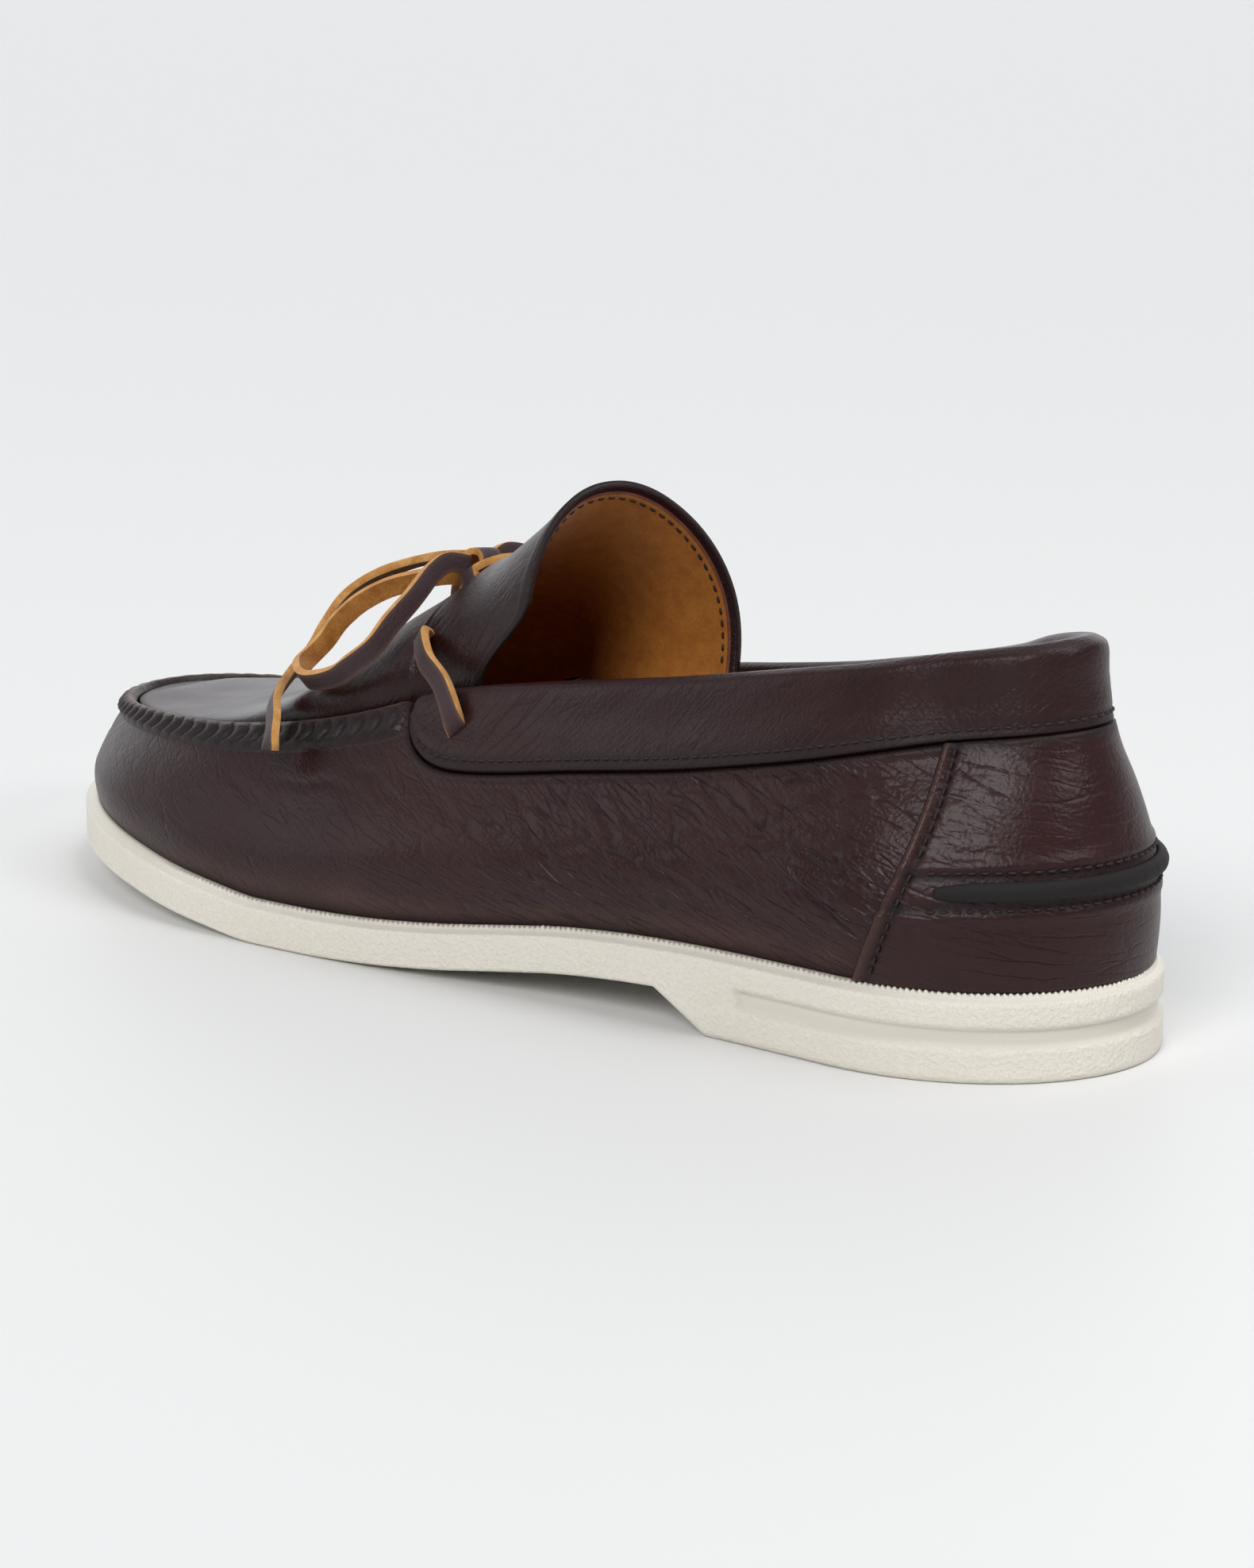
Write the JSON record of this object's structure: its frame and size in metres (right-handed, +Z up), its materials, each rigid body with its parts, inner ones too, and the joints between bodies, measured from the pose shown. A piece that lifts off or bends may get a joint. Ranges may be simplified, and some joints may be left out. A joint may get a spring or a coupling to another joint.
{
  "type": "boat shoe",
  "caption": "Left boat shoe in dark leather: moccasin seam, tall tongue, padded collar, rawhide bow and a cream rubber sole with a low heel.",
  "frame": {"origin": "on the floor, under the middle of the shoe's box", "axes": "+X from heel to toe, +Y to the outer side of the left foot, +Z up"},
  "size_m": [0.3068, 0.1076, 0.103],
  "materials": {
    "rubber": "matt cream rubber, finely stippled on the sides",
    "lining": "tan flesh side of the leather, matt",
    "leather": "dark burgundy brown full grain, soft sheen, fine wrinkles",
    "strip_leather": "near black leather strip, rounded",
    "lace": "flat rawhide lace, dark grain side, tan flesh side and edges"
  },
  "bodies": {
    "root": {"outsole": "rubber", "insole": "lining", "upper": "leather", "collar_band": "leather", "heel_counter": "leather", "heel_strip": "strip_leather", "plug_tongue": "leather", "lace_bar": "lace", "lace_strap_outer": "lace", "lace_strap_inner": "lace", "lace_knot": "lace", "lace_loop_outer": "lace", "lace_loop_inner": "lace", "lace_front_end": "lace"}
  },
  "joints": []
}
